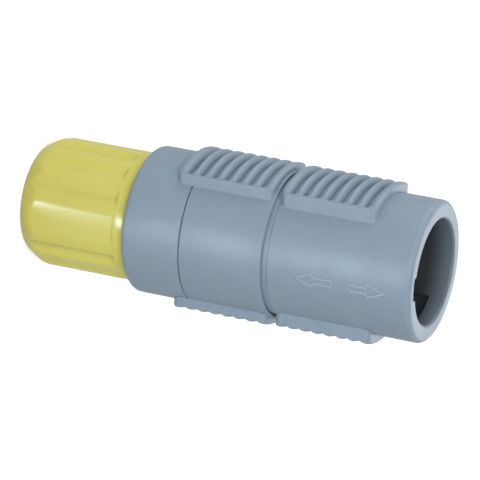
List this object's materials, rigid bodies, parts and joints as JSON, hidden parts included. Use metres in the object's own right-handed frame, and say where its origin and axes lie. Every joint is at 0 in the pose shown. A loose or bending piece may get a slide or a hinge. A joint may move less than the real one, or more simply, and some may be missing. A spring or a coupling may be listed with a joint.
{
  "type": "push pull circular connector",
  "caption": "Round push pull cable plug with a ribbed release sleeve, keyed mating hood, socket contacts and a fluted cable clamp nut.",
  "frame": {"origin": "centre of the clamp nut's flat end face, on the connector's axis", "axes": "+Z out of the mating mouth, +Y through the keyway and the arrows, grip pads at +X and -X"},
  "size_m": [0.0198, 0.018, 0.0514],
  "materials": {
    "grey_blue_plastic": "satin moulded",
    "yellow_plastic": "semi-gloss moulded",
    "dark_plastic": "matt moulded",
    "spring_steel": "bright drawn",
    "gold_plate": "gold plated",
    "black_rubber": "matt"
  },
  "bodies": {
    "body": {"grip_ring": "grey_blue_plastic", "rear_shell": "grey_blue_plastic", "plug_shell": "dark_plastic", "shell_seal": "black_rubber", "latch_ring": "dark_plastic", "insulator": "dark_plastic", "face_seal": "black_rubber", "insert_half_left": "dark_plastic", "insert_half_right": "dark_plastic", "cable_seal": "black_rubber", "contact_1": "gold_plate", "contact_2": "gold_plate", "contact_3": "gold_plate", "contact_4": "gold_plate", "contact_5": "gold_plate", "contact_6": "gold_plate", "contact_7": "gold_plate", "contact_8": "gold_plate"},
    "sleeve": {"release_sleeve": "grey_blue_plastic", "retaining_clip": "spring_steel", "return_spring": "spring_steel"},
    "clamp": {"clamp_collet": "dark_plastic", "thrust_washer": "spring_steel"},
    "nut": {"collet_nut": "yellow_plastic"}
  },
  "joints": [
    {"name": "sleeve_slide", "type": "slide", "parent": "body", "child": "sleeve", "axis": [0, 0, 1], "range_m": [-0.00065, 0], "stiffness_N_per_m": 3000, "springref_m": 0.001, "deforming": ["return_spring"]},
    {"name": "clamp_travel", "type": "slide", "parent": "body", "child": "clamp", "axis": [0, 0, -1], "range_m": [0, 0.0051]},
    {"name": "nut_spin", "type": "hinge", "parent": "clamp", "child": "nut", "pos_m": [0, 0, 0.0074], "axis": [0, 0, -1], "range_deg": [0, 1800]}
  ],
  "couplings": [
    {"joint": "clamp_travel", "follows": "nut_spin", "m_per_rad": 0.00015915}
  ]
}
